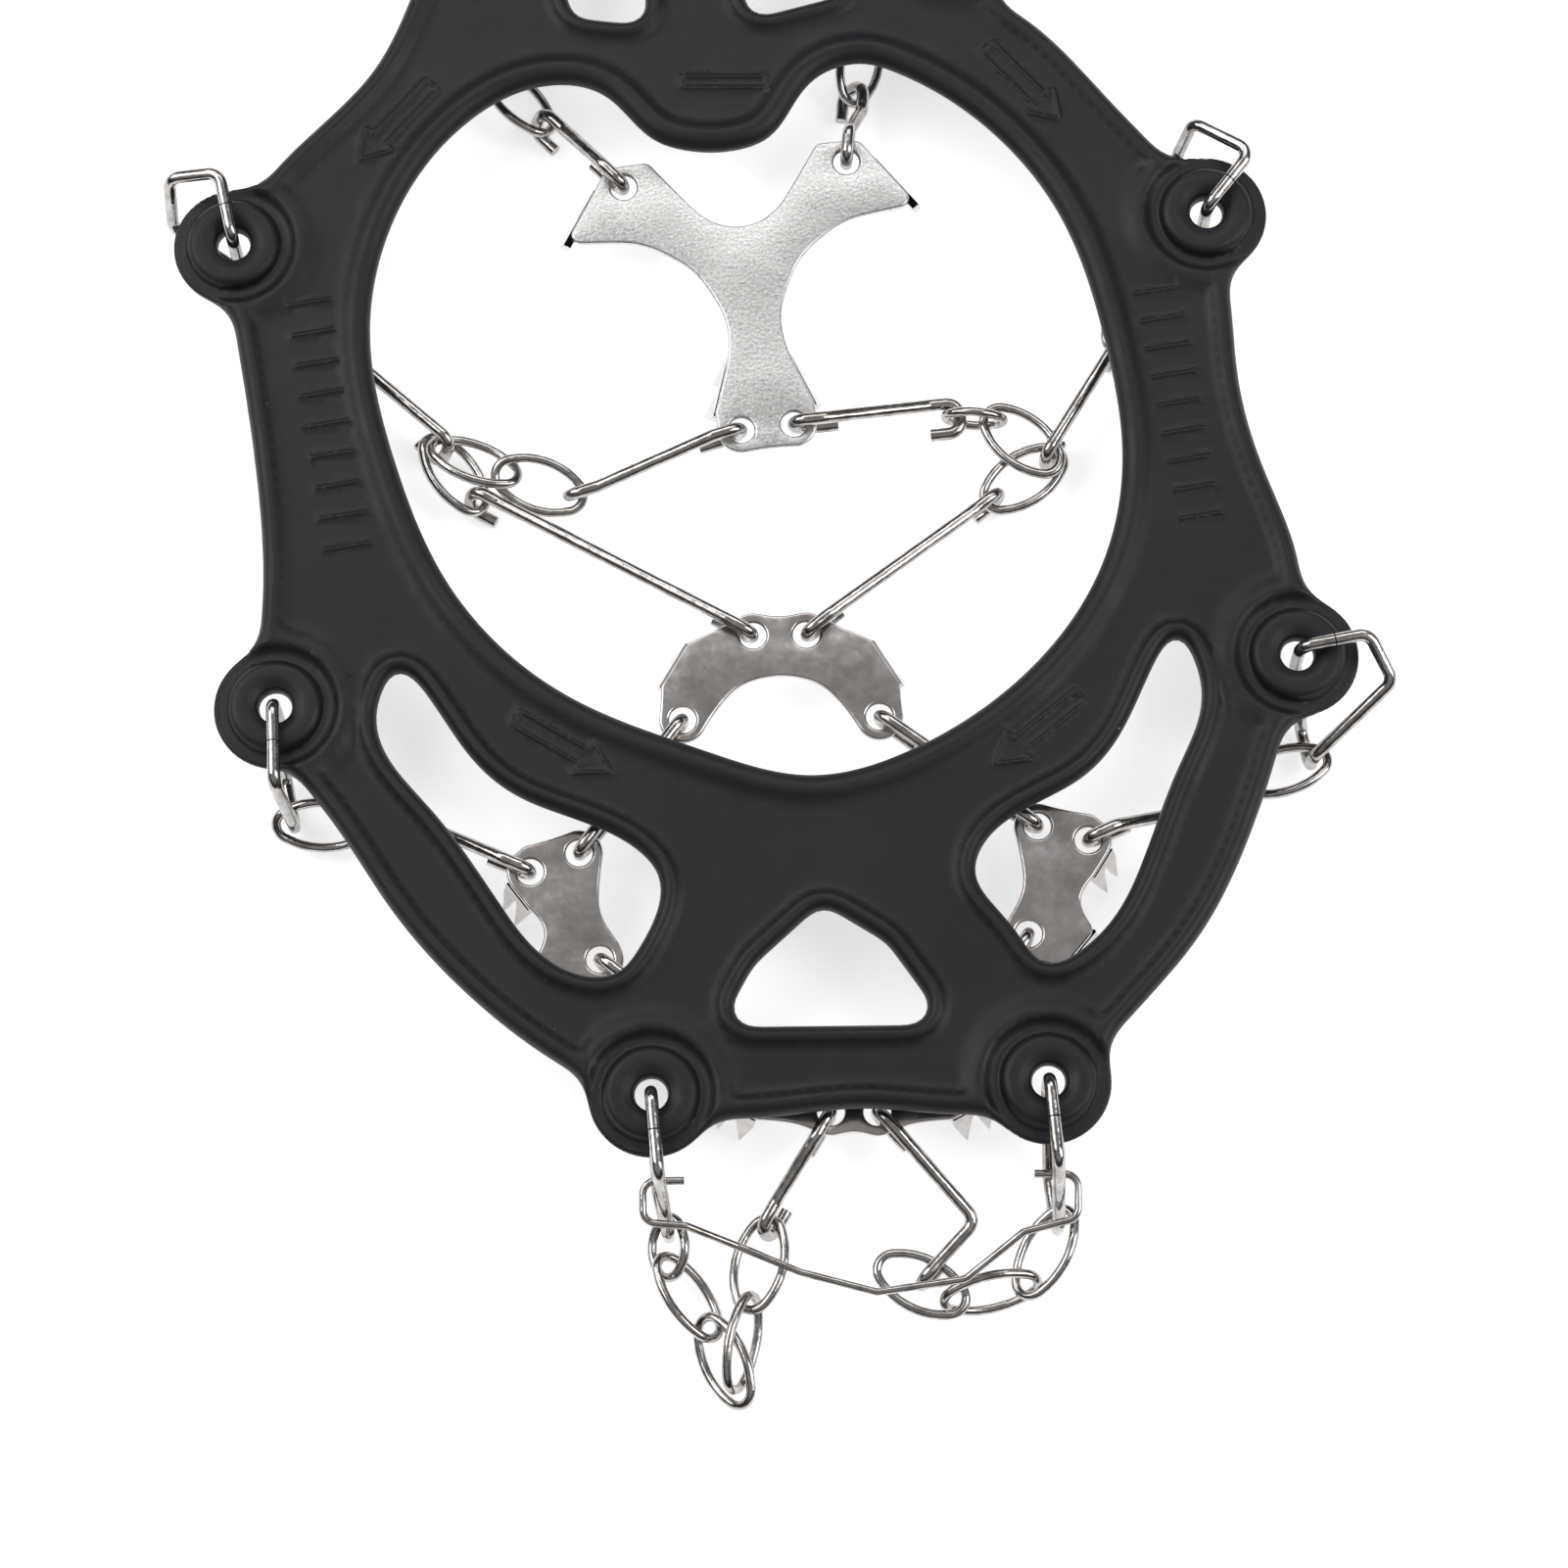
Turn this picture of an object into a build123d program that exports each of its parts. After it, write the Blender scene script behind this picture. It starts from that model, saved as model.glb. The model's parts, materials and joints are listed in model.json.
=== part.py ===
from build123d import *
import os
from math import atan2, cos, degrees, radians, sin, sqrt, tan

# Microspikes: an elastomer harness worn over a boot, carrying a stainless chain net with
# five toothed plates. Lengths are in millimetres.
#
# Layout frame: +X to the right seen from above with the toe nearest, +Y to the heel, +Z up,
# tooth tips at Z = 0. Every part is built there, and at the end the whole is shifted so that
# the origin is the centre of the bounding box's bottom face.

# ---- driving dimensions ----
HARNESS_BOTTOM = 13.0
WEB_THICKNESS = 3.4
BOSS_HEIGHT = 1.0
BOSS_RADIUS = 7.2
EAR_RADIUS = 9.6
EYELET_RADIUS = 2.5
NECK_FILLET = 7.0
PULL_TAB_THICKNESS = 3.4

PLATE_TOP = 10.0
PLATE_THICKNESS = 1.2
HOLE_RADIUS = 2.05
LOBE_RADIUS = 3.7
FLANGE_SPLAY = 14.0
FLANGE_BASE = 3.4
NICK_DEPTH = 1.1

HOOK_WIRE_RADIUS = 1.0
LINK_WIRE_RADIUS = 0.75
TOE_WIRE_RADIUS = 0.6
HOOK_BEND = 2.1
RING_BEND = 2.5
HOOK_DEPTH = 2.4
BUTT_GAP = 0.2

LINK_HALF_LENGTH = 7.25
LINK_HALF_WIDTH = 3.9
LINK_END_RADIUS = 2.6
SMALL_LINK_HALF_LENGTH = 4.6
SMALL_LINK_HALF_WIDTH = 3.3
SMALL_LINK_END_RADIUS = 2.5
SMALL_LINK_PITCH_LIMIT = 9.0

# ---- harness outline: body without ears, anticlockwise from the heel's right end ----
BODY_OUTLINE = [
    (31, 135), (24, 148), (8, 152), (-12, 153), (-33, 152), (-49, 147), (-58, 133),
    (-65, 117), (-79.5, 101), (-86.5, 88), (-85.5, 71), (-81.5, 46), (-80.5, 28), (-80, 11),
    (-69, -6), (-60, -19.5), (-48, -33), (-34, -43.8), (-21, -50), (-7, -52.2), (12, -50.6),
    (29, -51.5), (41, -48), (50, -39.2), (63, -24), (71.5, -7), (78.5, 17), (79.4, 36), (74.5, 50.5),
    (70.8, 66), (69.5, 82), (65, 95), (52, 111.3), (38, 126),
]
FOOT_OPENING = [
    (15, 118), (31.5, 108), (43.5, 92.5), (50.1, 72), (52.6, 52), (48.5, 33.5), (35, 15.5),
    (21, 6), (4, 1.2), (-12.4, 5.2), (-34, 14.3), (-51, 30.5), (-60.6, 52), (-64.8, 73),
    (-61, 93), (-50, 108.5), (-37.5, 114.7), (-28.5, 113), (-20.4, 105.2), (-16.5, 103.8),
    (-6.5, 103.9), (-2.6, 105.6), (4, 115),
]
RIGHT_WINDOW = [
    (62.8, 20.5), (61.2, 23), (53.5, 11.5), (43.5, -0.5), (30, -10.2), (29, -13.4), (35, -23),
    (39.5, -28.3), (46, -25.5), (54.5, -12.5), (60.5, 3),
]
LEFT_WINDOW = [
    (-61.7, 14.9), (-60.3, 17.3), (-49.5, 6), (-37, -3.8), (-21.7, -11), (-19.3, -14), (-22, -26),
    (-25.5, -30), (-32, -29.8), (-43, -19.3), (-54, -4),
]
TOE_WINDOW = [(5.7, -19), (15.5, -25), (24.6, -37.8), (-9.8, -38.2), (-4.5, -28.5)]
TOE_WINDOW_ROUNDING = 3.0
HEEL_WINDOWS = [
    [(-37.5, 140), (-23.5, 140), (-21.5, 124.5), (-33.5, 125.8)],
    [(-7.5, 140), (6.5, 140), (10.5, 130), (-5.8, 125.5)],
]
HEEL_WINDOW_ROUNDING = 3.0
PULL_TAB = [(-25, 150), (-3, 150), (-6, 163), (-22, 163)]
PULL_TAB_ROUNDING = 4.0
PULL_TAB_SLOT = (9, 4)
PULL_TAB_SLOT_CENTRE = (-14, 157)

EARS = {
    "toe_left": (-20.0, -48.6), "toe_right": (39.8, -46.6),
    "ball_left": (-78.0, 11.8), "ball_right": (78.9, 20.2),
    "arch_left": (-86.4, 87.2), "arch_right": (66.4, 92.6),
    "heel_left": (-52.0, 143.0), "heel_right": (26.5, 141.0),
}

# ---- plates: place (x, y, turn in degrees), then outlines and holes in each plate's own axes ----
# a half outline is the side of positive X, and the other side is its mirror image
HEEL_PLATE_HALF = [
    (0, 33.2), (5.5, 35.2), (13.5, 46.4), (20.4, 46.0), (22.4, 42.8), (28.2, 34.2), (16, 33), (8.2, 27.5),
    (4.0, 18.5), (4.6, 12.5), (8.0, 3), (5.5, -3.4),
]
HEEL_PLATE_HOLES = [(-4.15, 0), (4.15, 0), (-17.8, 42.6), (17.8, 42.6)]

ARCH_PLATE_HALF = [
    (0, 2.5), (3.0, 3.6), (8.0, 2.0), (14.4, -1.0), (18.6, -8.0), (18.2, -15.5), (12.0, -14.5),
    (6.5, -7.6), (0, -6.2),
]
ARCH_PLATE_HOLES = [(-4.15, 0), (4.15, 0), (-15.2, -13.4), (15.2, -13.4)]

TOE_PLATE_HALF = [
    (0, -2.2), (3.5, -3.6), (8.5, -1.6), (15.0, -1.2), (21.0, 2.0), (21.5, 8.0), (16.0, 10.8),
    (8.0, 5.4), (0, 4.6),
]
TOE_PLATE_HOLES = [(-3.5, 0), (3.5, 0), (-17.6, 7.2), (17.6, 7.2)]

SIDE_PLATE_OUTLINE = [
    (-4.2, 3.6), (5.0, 3.8), (8.4, -1.0), (6.4, -6.0), (3.6, -10.0), (8.0, -14.2), (4.2, -21.0),
    (-4.4, -20.4), (-5.6, -15.0), (-3.4, -9.5), (-5.6, -4.0),
]
SIDE_PLATE_HOLES = [(-3.4, 0.4), (4.6, -0.4), (-2.0, -16.6)]
PLATE_PLACES = {
    "heel_plate": (-2.6, 59.2, 7.0),
    "arch_plate": (-0.7, 25.2, 1.0),
    "toe_plate": (10.6, -50.1, 0.0),
    "side_plate_left": (-34.6, -11.0, 16.0),
    "side_plate_right": (42.2, -6.4, -10.0),
}

PLATE_ROUNDING = 1.6

PLATE_HOLES = {
    "heel_plate": HEEL_PLATE_HOLES,
    "arch_plate": ARCH_PLATE_HOLES,
    "toe_plate": TOE_PLATE_HOLES,
    "side_plate_left": [(-x, y) for x, y in SIDE_PLATE_HOLES],
    "side_plate_right": SIDE_PLATE_HOLES,
}
PLATE_OUTLINES = {
    "heel_plate": HEEL_PLATE_HALF,
    "arch_plate": ARCH_PLATE_HALF,
    "toe_plate": TOE_PLATE_HALF,
    "side_plate_left": [(-x, y) for x, y in SIDE_PLATE_OUTLINE],
    "side_plate_right": SIDE_PLATE_OUTLINE,
}
# each flange hangs from an edge given by its two ends, the plate's body on the left going along
BENT_EDGES = {
    "heel_plate": [
        ((28.2, 34.2), (22.4, 42.8)), ((-22.4, 42.8), (-28.2, 34.2)),
        ((8.0, 3.0), (4.6, 12.5)), ((-4.6, 12.5), (-8.0, 3.0))],
    "arch_plate": [((18.6, -8.0), (14.4, -1.0)), ((-14.4, -1.0), (-18.6, -8.0))],
    "toe_plate": [((15.0, -1.2), (21.0, 2.0)), ((-21.0, 2.0), (-15.0, -1.2))],
    "side_plate_left": [((-8.0, -14.2), (-4.2, -21.0)), ((-8.4, -1.0), (-6.4, -6.0))],
    "side_plate_right": [((4.2, -21.0), (8.0, -14.2)), ((6.4, -6.0), (8.4, -1.0))],
}

# ---- wire links through the eyelets: corners from the eyelet's top over the ear's edge, and
# corners from under the link's far end back to the eyelet's underside ----
EYELET_LINKS = {
    "toe_left": ([(-20.0, -48.4, 19.2), (-18.8, -61.0, 19.2)], [(-19.2, -61.0, 1.8), (-20.0, -49.0, 11.4)]),
    "toe_right": ([(39.8, -46.4, 19.2), (41.0, -59.0, 19.2)], [(40.4, -58.8, 1.8), (39.8, -47.0, 11.4)]),
    "ball_left": ([(-78.2, 12.0, 19.2), (-77.6, -1.0, 19.2)], [(-77.4, 4.0, 1.8), (-77.9, 11.2, 11.2)]),
    "ball_right": (
        [(79.2, 20.6, 19.2), (89.6, 22.6, 19.4), (93.4, 15.8, 16.5)],
        [(80.6, 12.0, 1.8), (79.0, 19.8, 11.2)]),
    "arch_left": (
        [(-86.4, 87.4, 19.0), (-88.6, 97.8, 20.0), (-96.6, 97.4, 18.5), (-96.8, 92.6, 9.5)],
        [(-83.0, 84.0, 1.8), (-86.2, 86.8, 11.2)]),
    "arch_right": (
        [(66.4, 92.6, 19.0), (73.4, 101.4, 20.0), (64.6, 107.4, 17.0), (62.6, 105.0, 9.5)],
        [(62.0, 90.0, 1.8), (66.2, 92.2, 11.2)]),
    "heel_left": (
        [(-52.0, 143.0, 19.0), (-62.4, 142.0, 20.0), (-65.4, 134.2, 13.0)],
        [(-52.0, 137.4, 1.8), (-52.0, 142.4, 11.0)]),
    "heel_right": (
        [(26.4, 141.0, 19.0), (34.8, 147.6, 20.0), (40.0, 142.8, 10.5)],
        [(24.6, 142.6, 1.8), (26.2, 140.6, 11.0)]),
}
EYELET_LINK_ROUNDING = 2.2
FAR_TOP = 8.0
FAR_BOTTOM = 1.3
FAR_REACH = 1.15

# ---- oval chain links: each run is a row of points where its links hook into each other ----
# two points close together are joined by a small link, and each link has its own roll
CHAIN_RUNS = {
    "toe_left_upper": (
        [(-17.5, -67, 5), (-17.5, -73, 4.5), (-11.5, -82, 4), (-6.5, -92.5, 5)], [40, -40, 40]),
    "toe_left_lower": ([(-7.5, -90.5, 5), (-5, -78.5, 5), (-2.5, -66.5, 4)], [60, -20]),
    "toe_right": ([(42, -66, 5.5), (37, -75.5, 4.5), (25.5, -78, 4.5), (16, -73, 4)], [30, -60, 0]),
    "ball_left": ([(-77, -4, 5), (-65.5, -4, 5), (-58.5, -4, 4)], [40, -30]),
    "ball_right": ([(83, 6.5, 5), (71.5, 3, 4.5), (65.5, 1, 4)], [20, -40]),
    "arch_left": ([(-80, 82, 5), (-71, 74, 4)], [0]),
    "arch_left_upper": ([(-54, 57, 5.5), (-43.5, 53, 5), (-33.5, 49.5, 4.5)], [-30, 20]),
    "arch_left_lower": ([(-55, 58, 3.5), (-49, 49, 3.5)], [-25]),
    "arch_right": ([(58.5, 85.5, 5), (53, 75, 4)], [0]),
    "arch_right_upper": ([(41.5, 55, 5.5), (33.5, 62, 5), (26.5, 62.5, 5)], [0, 90]),
    "arch_right_lower": ([(43, 56.5, 3.5), (32.5, 49, 3.7)], [0]),
    "heel_left": ([(-38.5, 112, 4), (-47, 121, 5), (-53, 131, 5)], [30, -40]),
    "heel_right": ([(11, 117.5, 4), (13.5, 129, 4.5), (21.5, 137, 5)], [40, -40]),
}
# the chain each eyelet link holds, and whether by that chain's last ring
EYELET_CHAINS = {
    "toe_left": ("toe_left_upper", False), "toe_right": ("toe_right", False),
    "ball_left": ("ball_left", False), "ball_right": ("ball_right", False),
    "arch_left": ("arch_left", False), "arch_right": ("arch_right", False),
    "heel_left": ("heel_left", True), "heel_right": ("heel_right", True),
}

# ---- bent-wire hooks: (start, end, points the long run passes) ----
# an end is a plate's name and the number of its hole, or a link's name and which of its ends
HOOKS = {
    "toe_hook_left": (("toe_plate", 0), ("toe_left_lower_link_2", 1), []),
    "toe_hook_right": (("toe_plate", 1), ("toe_right_link_3", 0), [(29.0, -66.4, 7.6)]),
    "toe_side_hook_left": (("toe_plate", 2), ("side_plate_left", 2), []),
    "toe_side_hook_right": (("toe_plate", 3), ("side_plate_right", 2), []),
    "ball_hook_left": (("side_plate_left", 1), ("ball_left_link_2", 1), []),
    "ball_hook_right": (("side_plate_right", 1), ("ball_right_link_2", 1), []),
    "arch_side_hook_left": (("arch_plate", 2), ("side_plate_left", 0), []),
    "arch_side_hook_right": (("arch_plate", 3), ("side_plate_right", 0), []),
    "arch_hook_left": (("arch_plate", 0), ("arch_left_lower_link_1", 1), []),
    "arch_hook_right": (("arch_plate", 1), ("arch_right_lower_link_1", 1), []),
    "heel_down_hook_left": (("heel_plate", 0), ("arch_left_upper_link_2", 1), []),
    "heel_down_hook_right": (("heel_plate", 1), ("arch_right_upper_link_2", 1), []),
    "arch_ear_hook_left": (("arch_left_link_1", 1), ("arch_left_upper_link_1", -1), []),
    "arch_ear_hook_right": (("arch_right_link_1", 1), ("arch_right_upper_link_1", -1), []),
    "heel_hook_left": (("heel_plate", 2), ("heel_left_link_1", -1), []),
    "heel_hook_right": (("heel_plate", 3), ("heel_right_link_1", -1), []),
}
# a hook end through two rings lying one on the other: its drop below the upper one, and radius
STACKED_ENDS = {"arch_left_upper_link_1": (1.0, 3.0), "arch_right_upper_link_1": (0.9, 3.0)}
PLATE_TAIL = 7.0
SHOULDER = 4.6
LEVEL_TOLERANCE = 0.5
RING_TAIL = 5.0

TOE_WIRE = [
    (-15.0, -61.4, 13.6), (-21.2, -61.4, 13.4), (-21.2, -67.6, 12.8), (-14.6, -68.0, 12.0),
    (-7.0, -70.6, 9.5), (2.5, -74.4, 8.4), (14.0, -77.4, 8.4), (27.2, -75.6, 9.4),
    (36.0, -68.8, 11.6), (44.2, -66.8, 12.2), (44.2, -60.2, 12.6), (37.6, -60.2, 13.0),
]
TOE_WIRE_ROUNDING = 2.0


def smooth_face(points):
    """A face bounded by one smooth closed curve through the points."""
    return make_face(Spline(*points, periodic=True))


def rounded_face(points, rounding):
    """A face bounded by a polygon with rounded corners."""
    return make_face(FilletPolyline(*points, radius=rounding, close=True))


def both_halves(half):
    """The closed outline of a shape that is the same on both sides of X = 0."""
    return half + [(-x, y) for x, y in reversed(half) if x > 0]


def slab(face, bottom, thickness):
    return extrude(Pos(0, 0, bottom) * face, thickness, dir=(0, 0, 1))


# ---- harness ----
def vertical_necks(body, ears):
    """The upright edges where an ear's rim meets the body."""
    chosen = []
    for edge in body.edges():
        middle = edge @ 0.5
        if abs(middle.Z - HARNESS_BOTTOM - WEB_THICKNESS / 2) > 0.1:
            continue
        for x, y in ears:
            gap = sqrt((middle.X - x) ** 2 + (middle.Y - y) ** 2)
            if abs(gap - EAR_RADIUS) < 0.05:
                chosen.append(edge)
    return chosen


def harness():
    body = slab(smooth_face(BODY_OUTLINE), HARNESS_BOTTOM, WEB_THICKNESS)
    for x, y in EARS.values():
        body += slab(Pos(x, y) * Circle(EAR_RADIUS), HARNESS_BOTTOM, WEB_THICKNESS)
    body = fillet(vertical_necks(body, EARS.values()), NECK_FILLET)
    tab = rounded_face(PULL_TAB, PULL_TAB_ROUNDING)
    tab -= Pos(*PULL_TAB_SLOT_CENTRE) * SlotOverall(*PULL_TAB_SLOT)
    body += slab(tab, HARNESS_BOTTOM, PULL_TAB_THICKNESS)
    openings = [smooth_face(FOOT_OPENING), smooth_face(LEFT_WINDOW), smooth_face(RIGHT_WINDOW)]
    openings.append(rounded_face(TOE_WINDOW, TOE_WINDOW_ROUNDING))
    openings += [rounded_face(window, HEEL_WINDOW_ROUNDING) for window in HEEL_WINDOWS]
    for opening in openings:
        body -= slab(opening, HARNESS_BOTTOM - 1, WEB_THICKNESS + 2)
    top = HARNESS_BOTTOM + WEB_THICKNESS
    for x, y in EARS.values():
        body += Pos(x, y, top + BOSS_HEIGHT / 2) * Cylinder(BOSS_RADIUS, BOSS_HEIGHT)
    for x, y in EARS.values():
        body -= Pos(x, y, top) * Cylinder(EYELET_RADIUS, 4 * WEB_THICKNESS)
    return body


# ---- spike plates ----
def flange(start, end, depth):
    """A strip bent down from the edge start-end, cut into two spikes with a nick between."""
    ax, ay = start
    bx, by = end
    width = sqrt((bx - ax) ** 2 + (by - ay) ** 2)
    half = width / 2
    outline = [
        (-half, -0.3), (half, -0.3), (half, -FLANGE_BASE), (half * 0.55, -depth),
        (0.5, -FLANGE_BASE), (0, -FLANGE_BASE + NICK_DEPTH), (-0.5, -FLANGE_BASE),
        (-half * 0.55, -depth), (-half, -FLANGE_BASE),
    ]
    along = Vector(bx - ax, by - ay, 0).normalized()
    outward = Vector(along.Y, -along.X, 0)
    lean = radians(FLANGE_SPLAY)
    normal = outward * cos(lean) + Vector(0, 0, 1) * sin(lean)
    middle = Vector((ax + bx) / 2, (ay + by) / 2, PLATE_TOP)
    plane = Plane(origin=middle, x_dir=along, z_dir=normal)
    strip = plane * make_face(Polyline(*outline, close=True))
    return extrude(strip, PLATE_THICKNESS, dir=-normal)


def spike_plate(place, outline, holes, bent_edges):
    """A stamped plate with a lobe round each hole and a two-spike flange on each bent edge."""
    face = make_face(FilletPolyline(*outline, radius=PLATE_ROUNDING, close=True))
    for x, y in holes:
        face += Pos(x, y) * Circle(LOBE_RADIUS)
    plate = slab(face, PLATE_TOP - PLATE_THICKNESS, PLATE_THICKNESS)
    lean = radians(FLANGE_SPLAY)
    depth = (PLATE_TOP - PLATE_THICKNESS * sin(lean)) / cos(lean)
    for start, end in bent_edges:
        plate += flange(start, end, depth)
    for x, y in holes:
        plate -= Pos(x, y, PLATE_TOP) * Cylinder(HOLE_RADIUS, 4 * PLATE_THICKNESS)
    x, y, turn = place
    return Pos(x, y) * Rot(0, 0, turn) * plate


# ---- wire parts ----
def corner_radii(points, rounding):
    """The rounding at each corner, smaller where its two runs leave no room for it."""
    radii = []
    for i in range(1, len(points) - 1):
        before = points[i] - points[i - 1]
        after = points[i + 1] - points[i]
        turn = radians(before.get_angle(after))
        room = 0.48 * min(before.length, after.length) / tan(turn / 2)
        radii.append(min(rounding, room))
    return radii


def wire_rod(points, wire_radius, rounding):
    """A round wire bent at the points."""
    points = [Vector(*point) for point in points]
    path = FilletPolyline(*points, radius=corner_radii(points, rounding))
    section = Plane(origin=path @ 0, z_dir=path % 0) * Circle(wire_radius)
    return sweep(section, path=path)


def butt_jointed(corners):
    """The corners as one open wire whose ends nearly meet in the middle of the first run."""
    first, second = Vector(*corners[0]), Vector(*corners[1])
    along = (second - first).normalized()
    middle = (first + second) / 2
    inner = [Vector(*corner) for corner in corners]
    start = middle + along * BUTT_GAP / 2
    end = middle - along * BUTT_GAP / 2
    return [start] + inner[1:] + [inner[0], end]


def oval_link(half_length, half_width, end_radius):
    """A flat chain link of four tangent arcs, long side along X."""
    end = half_length - end_radius
    side_radius = (end**2 + half_width**2 - end_radius**2) / (2 * (half_width - end_radius))
    drop = side_radius - half_width
    tilt = degrees(atan2(drop, end))
    arcs = [
        CenterArc((end, 0), end_radius, -tilt, 2 * tilt),
        CenterArc((0, -drop), side_radius, tilt, 180 - 2 * tilt),
        CenterArc((-end, 0), end_radius, 180 - tilt, 2 * tilt),
        CenterArc((0, drop), side_radius, 180 + tilt, 180 - 2 * tilt),
    ]
    path = Wire(arcs)
    section = Plane(origin=path @ 0, z_dir=path % 0) * Circle(LINK_WIRE_RADIUS)
    return sweep(section, path=path)


def eyelet_link_points(name):
    """The closed loop of corners through an eyelet and round the first ring of its chain."""
    over, under = EYELET_LINKS[name]
    run, last = EYELET_CHAINS[name]
    points = [Vector(*point) for point in CHAIN_RUNS[run][0]]
    if last:
        points.reverse()
    outward = Vector(points[1].X - points[0].X, points[1].Y - points[0].Y, 0).normalized()
    far = points[0] + outward * FAR_REACH
    return over + [(far.X, far.Y, FAR_TOP), (far.X, far.Y, FAR_BOTTOM)] + under


def link_places():
    """Each link's name, middle, direction, roll and whether it is a small one."""
    places = {}
    for run, (points, rolls) in CHAIN_RUNS.items():
        for i, roll in enumerate(rolls):
            start, end = Vector(*points[i]), Vector(*points[i + 1])
            small = (end - start).length < SMALL_LINK_PITCH_LIMIT
            places[f"{run}_link_{i + 1}"] = ((start + end) / 2, (end - start).normalized(), roll, small)
    return places


def placed_link(link, middle, along, roll):
    """A link moved to its place: its long side along the direction, turned over by the roll."""
    heading = degrees(atan2(along.Y, along.X))
    pitch = degrees(atan2(along.Z, sqrt(along.X**2 + along.Y**2)))
    return Pos(*middle) * Rot(0, 0, heading) * Rot(0, -pitch, 0) * Rot(roll, 0, 0) * link


def plate_hole(plate_name, index):
    """The middle of a plate's hole, in the layout frame."""
    x, y, turn = PLATE_PLACES[plate_name]
    hole_x, hole_y = PLATE_HOLES[plate_name][index]
    c, s = cos(radians(turn)), sin(radians(turn))
    return Vector(x + c * hole_x - s * hole_y, y + s * hole_x + c * hole_y, PLATE_TOP - PLATE_THICKNESS / 2)


def upright(along, roll):
    """The normal of a ring lying along the direction and turned over by the roll."""
    side = Vector(-along.Y, along.X, 0).normalized()
    return along.cross(side) * cos(radians(roll)) - side * sin(radians(roll))


def hook_end(target):
    """Where a hook's bend goes, the bend's radius, the tail's length and the way it stands."""
    name, which = target
    if name in PLATE_HOLES:
        return plate_hole(name, which), HOOK_BEND, PLATE_TAIL, Vector(0, 0, 1)
    middle, along, roll, small = link_places()[name]
    half_length = SMALL_LINK_HALF_LENGTH if small else LINK_HALF_LENGTH
    drop, bend = STACKED_ENDS.get(name, (0, RING_BEND))
    here = middle + along * which * (half_length - HOOK_DEPTH) - Vector(0, 0, drop)
    return here, bend, RING_TAIL, upright(along, roll)


def bend_corners(here, towards, radius, tail, normal):
    """Corners of a hook's end, from the tip of its tail to where the long run sets off."""
    level = Vector(towards.X - here.X, towards.Y - here.Y, 0)
    along = level.normalized()
    rise = (normal - along * normal.dot(along)).normalized()
    reach = min(tail, 0.4 * level.length)
    corners = [here + along * reach - rise * radius, here - rise * radius, here + rise * radius]
    if abs(towards.Z - here.Z) > LEVEL_TOLERANCE:
        corners.append(here + along * SHOULDER + rise * radius)
    return corners


def hook_points(start, end, waypoints):
    """Corners of a hook: tail, bend, long run, bend and tail."""
    a, a_bend, a_tail, a_normal = hook_end(start)
    b, b_bend, b_tail, b_normal = hook_end(end)
    route = [a] + [Vector(*point) for point in waypoints] + [b]
    first = bend_corners(a, route[1], a_bend, a_tail, a_normal)
    last = bend_corners(b, route[-2], b_bend, b_tail, b_normal)
    return first + route[1:-1] + last[::-1]


# ---- the whole cleat ----
def all_parts():
    """Every part by name, in the layout frame."""
    parts = {"harness": harness()}
    for name, place in PLATE_PLACES.items():
        outline = PLATE_OUTLINES[name]
        if not name.startswith("side"):
            outline = both_halves(outline)
        parts[name] = spike_plate(place, outline, PLATE_HOLES[name], BENT_EDGES[name])
    for name in EYELET_LINKS:
        corners = butt_jointed(eyelet_link_points(name))
        parts["eyelet_link_" + name] = wire_rod(corners, HOOK_WIRE_RADIUS, EYELET_LINK_ROUNDING)
    link = oval_link(LINK_HALF_LENGTH, LINK_HALF_WIDTH, LINK_END_RADIUS)
    small_link = oval_link(SMALL_LINK_HALF_LENGTH, SMALL_LINK_HALF_WIDTH, SMALL_LINK_END_RADIUS)
    for name, (middle, along, roll, small) in link_places().items():
        parts[name] = placed_link(small_link if small else link, middle, along, roll)
    for name, hook in HOOKS.items():
        parts[name] = wire_rod(hook_points(*hook), HOOK_WIRE_RADIUS, HOOK_BEND)
    parts["toe_wire"] = wire_rod(TOE_WIRE, TOE_WIRE_RADIUS, TOE_WIRE_ROUNDING)
    return parts


def main():
    os.makedirs("parts", exist_ok=True)
    parts = all_parts()
    box = Compound(list(parts.values())).bounding_box()
    shift = Vector(-box.center().X, -box.center().Y, -box.min.Z)
    print("shift to the bounding box's bottom centre:", shift)
    for name, part in parts.items():
        export_step(Pos(*shift) * part, f"parts/{name}.step")


main()
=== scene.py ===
import json
import math

import bmesh
import bpy
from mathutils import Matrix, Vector, geometry, kdtree


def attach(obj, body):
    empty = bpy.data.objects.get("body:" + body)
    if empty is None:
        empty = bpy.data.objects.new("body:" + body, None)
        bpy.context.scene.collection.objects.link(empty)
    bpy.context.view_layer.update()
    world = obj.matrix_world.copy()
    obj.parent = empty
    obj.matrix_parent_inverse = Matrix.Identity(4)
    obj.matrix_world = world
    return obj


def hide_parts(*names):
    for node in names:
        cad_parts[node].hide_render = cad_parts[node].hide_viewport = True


# Microspikes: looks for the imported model. Metres; the toe end is at -Y and the heel at +Y.
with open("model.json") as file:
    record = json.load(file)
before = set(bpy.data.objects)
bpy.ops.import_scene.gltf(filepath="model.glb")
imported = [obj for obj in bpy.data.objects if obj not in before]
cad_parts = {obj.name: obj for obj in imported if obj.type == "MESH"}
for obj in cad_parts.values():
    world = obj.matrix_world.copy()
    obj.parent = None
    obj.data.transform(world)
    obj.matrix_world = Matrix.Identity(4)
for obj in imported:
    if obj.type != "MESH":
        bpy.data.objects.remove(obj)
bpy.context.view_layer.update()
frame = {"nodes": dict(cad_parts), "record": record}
MM = 0.001
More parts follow.
